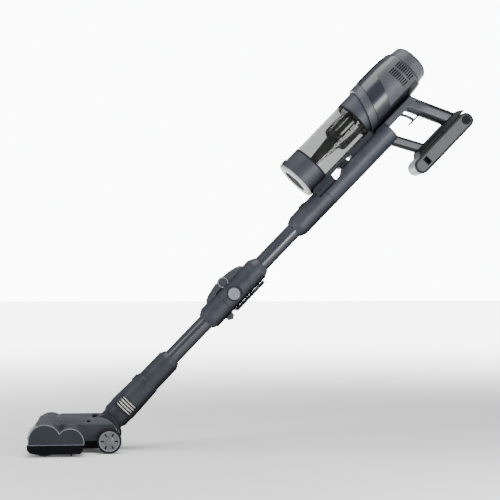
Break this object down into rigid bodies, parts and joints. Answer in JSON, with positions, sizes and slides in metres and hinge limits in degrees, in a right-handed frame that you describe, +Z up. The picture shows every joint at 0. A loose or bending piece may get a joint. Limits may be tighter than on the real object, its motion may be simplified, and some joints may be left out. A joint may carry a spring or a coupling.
{
  "type": "cordless stick vacuum",
  "caption": "Cordless stick vacuum: folding wand, clear cyclone bin in line with a motor barrel, looped handle with trigger, clip-in battery and a powered twin-roller floor head.",
  "frame": {"origin": "middle of the hand grip, where the palm holds it", "axes": "+Z up and +X from the floor head towards the handle with the wand leaning 46 degrees and the head flat on the floor; +Y is the user's left-hand side axis across the machine, the charge inlet faces -Y"},
  "size_m": [0.9568, 0.25, 0.8699],
  "materials": {
    "slate_plastic": "satin",
    "dark_plastic": "matte",
    "gloss_black": "gloss",
    "light_plastic": "satin",
    "clear_plastic": "clear, smoky",
    "tube_metal": "dark anodised, glossy",
    "silver_plastic": "silver paint",
    "steel": "plain",
    "rubber": "matte",
    "tyre": "matte",
    "filter_media": "pleated paper and foam",
    "pile": "woven pile",
    "cell_sleeve": "sleeved steel can",
    "board_green": "solder mask",
    "lens": "clear lens over dark reflector"
  },
  "bodies": {
    "handset": {"wand_collar": "slate_plastic", "duct_arm": "slate_plastic", "bin_rail": "slate_plastic", "motor_collar": "light_plastic", "motor_housing": "gloss_black", "vent_panels": "dark_plastic", "rear_cap": "slate_plastic", "top_strip": "gloss_black", "motor_can": "steel", "exhaust_filter": "filter_media", "control_board": "board_green", "grip_shell": "slate_plastic", "grip_pad": "rubber", "front_strut": "slate_plastic", "battery_cradle": "dark_plastic", "trigger_switch": "dark_plastic", "trigger_spring": "steel", "handle_screws": "steel"},
    "fan": {"motor_impeller": "dark_plastic"},
    "trigger_blade": {"trigger": "dark_plastic"},
    "bin_release_slider": {"bin_release": "dark_plastic"},
    "mode_key": {"mode_button": "silver_plastic"},
    "wand_button": {"wand_release": "dark_plastic"},
    "dust_bin": {"bin_wall": "clear_plastic", "bin_front_collar": "slate_plastic", "bin_rear_collar": "slate_plastic", "cyclone_shroud": "dark_plastic", "cyclone_cone": "dark_plastic", "pre_filter": "filter_media"},
    "lid": {"bin_lid": "light_plastic"},
    "lid_catch": {"lid_latch": "slate_plastic"},
    "battery": {"battery_case": "light_plastic", "battery_cap": "dark_plastic", "battery_cells": "cell_sleeve", "charge_inlet": "gloss_black"},
    "battery_button": {"battery_release": "dark_plastic"},
    "upper_wand": {"upper_tube": "tube_metal", "elbow_upper_shell": "slate_plastic", "elbow_pin": "dark_plastic", "elbow_hose": "rubber"},
    "fold_slider": {"elbow_slider": "silver_plastic"},
    "fold_latch": {"elbow_latch": "dark_plastic"},
    "lower_wand": {"lower_tube": "tube_metal", "elbow_lower_shell": "slate_plastic"},
    "neck": {"neck_socket": "slate_plastic", "neck_bellows": "rubber"},
    "head_button": {"head_release": "dark_plastic"},
    "yoke": {"neck_yoke": "dark_plastic"},
    "cleaning_head": {"head_cover": "slate_plastic", "head_base": "dark_plastic", "end_caps": "slate_plastic", "light_bar": "lens", "roller_motor": "steel", "drive_belt": "rubber"},
    "front_roller": {"soft_roller": "pile"},
    "rear_roller": {"brush_roller": "dark_plastic"},
    "left_wheel_set": {"left_wheel": "silver_plastic", "left_tyre": "tyre"},
    "right_wheel_set": {"right_wheel": "silver_plastic", "right_tyre": "tyre"}
  },
  "joints": [
    {"name": "bin_pull", "type": "slide", "parent": "handset", "child": "dust_bin", "axis": [-0.8949, 0, -0.4463], "range_m": [0, 0.15]},
    {"name": "lid_swing", "type": "hinge", "parent": "dust_bin", "child": "lid", "pos_m": [-0.26537, 0, -0.18483], "axis": [0, -1, 0], "range_deg": [0, 80]},
    {"name": "lid_catch_tilt", "type": "hinge", "parent": "dust_bin", "child": "lid_catch", "pos_m": [-0.32135, 0, -0.1141], "axis": [0, 1, 0], "range_deg": [0, 8], "stiffness_Nm_per_rad": 0.05, "springref_deg": -11.46},
    {"name": "bin_release_push", "type": "slide", "parent": "handset", "child": "bin_release_slider", "axis": [-0.6947, 0, -0.7193], "range_m": [0, 0.008], "stiffness_N_per_m": 300, "springref_m": -0.002},
    {"name": "trigger_pull", "type": "slide", "parent": "handset", "child": "trigger_blade", "axis": [0.6947, 0, 0.7193], "range_m": [0, 0.004], "stiffness_N_per_m": 700, "springref_m": -0.002, "deforming": ["trigger_spring"]},
    {"name": "mode_press", "type": "slide", "parent": "handset", "child": "mode_key", "axis": [0.7193, 0, -0.6947], "range_m": [0, 0.001], "stiffness_N_per_m": 600, "springref_m": -0.002},
    {"name": "wand_release_press", "type": "slide", "parent": "handset", "child": "wand_button", "axis": [0.7193, 0, -0.6947], "range_m": [0, 0.0018], "stiffness_N_per_m": 600, "springref_m": -0.002},
    {"name": "fan_spin", "type": "hinge", "parent": "handset", "child": "fan", "pos_m": [-0.10942, 0, 0.03713], "axis": [0.6947, 0, 0.7193], "continuous": true},
    {"name": "battery_slide", "type": "slide", "parent": "handset", "child": "battery", "axis": [0.7193, 0, -0.6947], "range_m": [0, 0.06]},
    {"name": "battery_release_press", "type": "slide", "parent": "battery", "child": "battery_button", "axis": [0, 1, 0], "range_m": [0, 0.002], "stiffness_N_per_m": 600, "springref_m": -0.002},
    {"name": "wand_detach", "type": "slide", "parent": "handset", "child": "upper_wand", "axis": [-0.6947, 0, -0.7193], "range_m": [0, 0.06]},
    {"name": "elbow_fold", "type": "hinge", "parent": "upper_wand", "child": "lower_wand", "pos_m": [-0.45578, 0, -0.37769], "axis": [0, 1, 0], "range_deg": [0, 90], "deforming": ["elbow_hose"]},
    {"name": "fold_slider_push", "type": "slide", "parent": "upper_wand", "child": "fold_slider", "axis": [0.6947, 0, 0.7193], "range_m": [0, 0.0022], "stiffness_N_per_m": 500, "springref_m": -0.002},
    {"name": "fold_latch_draw", "type": "slide", "parent": "upper_wand", "child": "fold_latch", "axis": [0.6947, 0, 0.7193], "range_m": [0, 0.0022]},
    {"name": "head_detach", "type": "slide", "parent": "lower_wand", "child": "neck", "axis": [-0.6947, 0, -0.7193], "range_m": [0, 0.06]},
    {"name": "head_release_press", "type": "slide", "parent": "neck", "child": "head_button", "axis": [0.7193, 0, -0.6947], "range_m": [0, 0.0018], "stiffness_N_per_m": 600, "springref_m": -0.002},
    {"name": "neck_swivel", "type": "hinge", "parent": "neck", "child": "yoke", "pos_m": [-0.68318, 0, -0.65995], "axis": [0.6947, 0, 0.7193], "range_deg": [-75, 75]},
    {"name": "head_pitch", "type": "hinge", "parent": "yoke", "child": "cleaning_head", "pos_m": [-0.7061, 0, -0.68368], "axis": [0, 1, 0], "range_deg": [-36, 44]},
    {"name": "soft_roller_spin", "type": "hinge", "parent": "cleaning_head", "child": "front_roller", "pos_m": [-0.82864, 0, -0.70288], "axis": [0, 1, 0], "continuous": true},
    {"name": "brush_roller_spin", "type": "hinge", "parent": "cleaning_head", "child": "rear_roller", "pos_m": [-0.77464, 0, -0.70938], "axis": [0, 1, 0], "continuous": true},
    {"name": "left_wheel_spin", "type": "hinge", "parent": "cleaning_head", "child": "left_wheel_set", "pos_m": [-0.69764, -0.075, -0.70638], "axis": [0, 1, 0], "continuous": true},
    {"name": "right_wheel_spin", "type": "hinge", "parent": "cleaning_head", "child": "right_wheel_set", "pos_m": [-0.69764, 0.075, -0.70638], "axis": [0, 1, 0], "continuous": true}
  ],
  "couplings": [
    {"joint": "brush_roller_spin", "follows": "soft_roller_spin", "ratio": 1.25},
    {"joint": "fold_latch_draw", "follows": "fold_slider_push", "ratio": 1}
  ]
}
